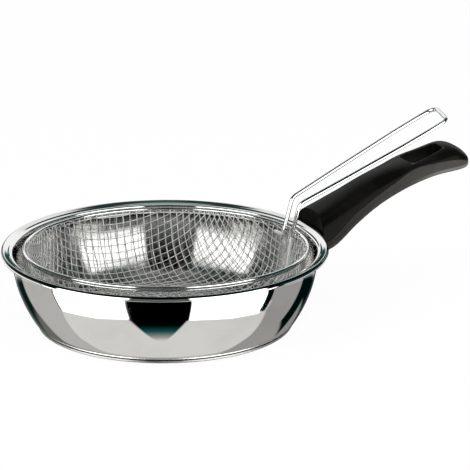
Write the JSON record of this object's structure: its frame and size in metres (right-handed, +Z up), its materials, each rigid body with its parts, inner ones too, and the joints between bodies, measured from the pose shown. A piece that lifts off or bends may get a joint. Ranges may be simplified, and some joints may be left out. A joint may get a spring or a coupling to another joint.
{
  "type": "frying pan with basket",
  "caption": "Shallow steel pan with a rolled lip, sandwich base and angled grip, holding a lift-out wire mesh basket with a long bent-rod handle.",
  "frame": {"origin": "centre of the base's flat underside", "axes": "+Z up out of the pan's mouth, +X along the pan's handle"},
  "size_m": [0.4117, 0.2672, 0.1539],
  "materials": {
    "polished_steel": "mirror polished stainless steel",
    "satin_steel": "satin stainless steel",
    "aluminium": "pressed blank, matt",
    "black_phenolic": "semi-gloss moulded phenolic",
    "zinc_plated_steel": "zinc plated",
    "chrome_wire": "bright plated round wire",
    "tinned_wire": "tinned fine wire"
  },
  "bodies": {
    "pan": {"pan_body": "polished_steel", "base_core": "aluminium", "base_cap": "satin_steel", "handle_bracket": "satin_steel", "handle_grip": "black_phenolic", "handle_nut": "zinc_plated_steel", "handle_screw": "zinc_plated_steel", "handle_washer": "zinc_plated_steel"},
    "basket": {"basket_rim": "chrome_wire", "basket_hem_wire": "chrome_wire", "basket_net": "tinned_wire", "basket_handle": "chrome_wire"}
  },
  "joints": [
    {"name": "basket_lift", "type": "slide", "parent": "pan", "child": "basket", "axis": [0, 0, 1], "range_m": [0, 0.12]}
  ]
}
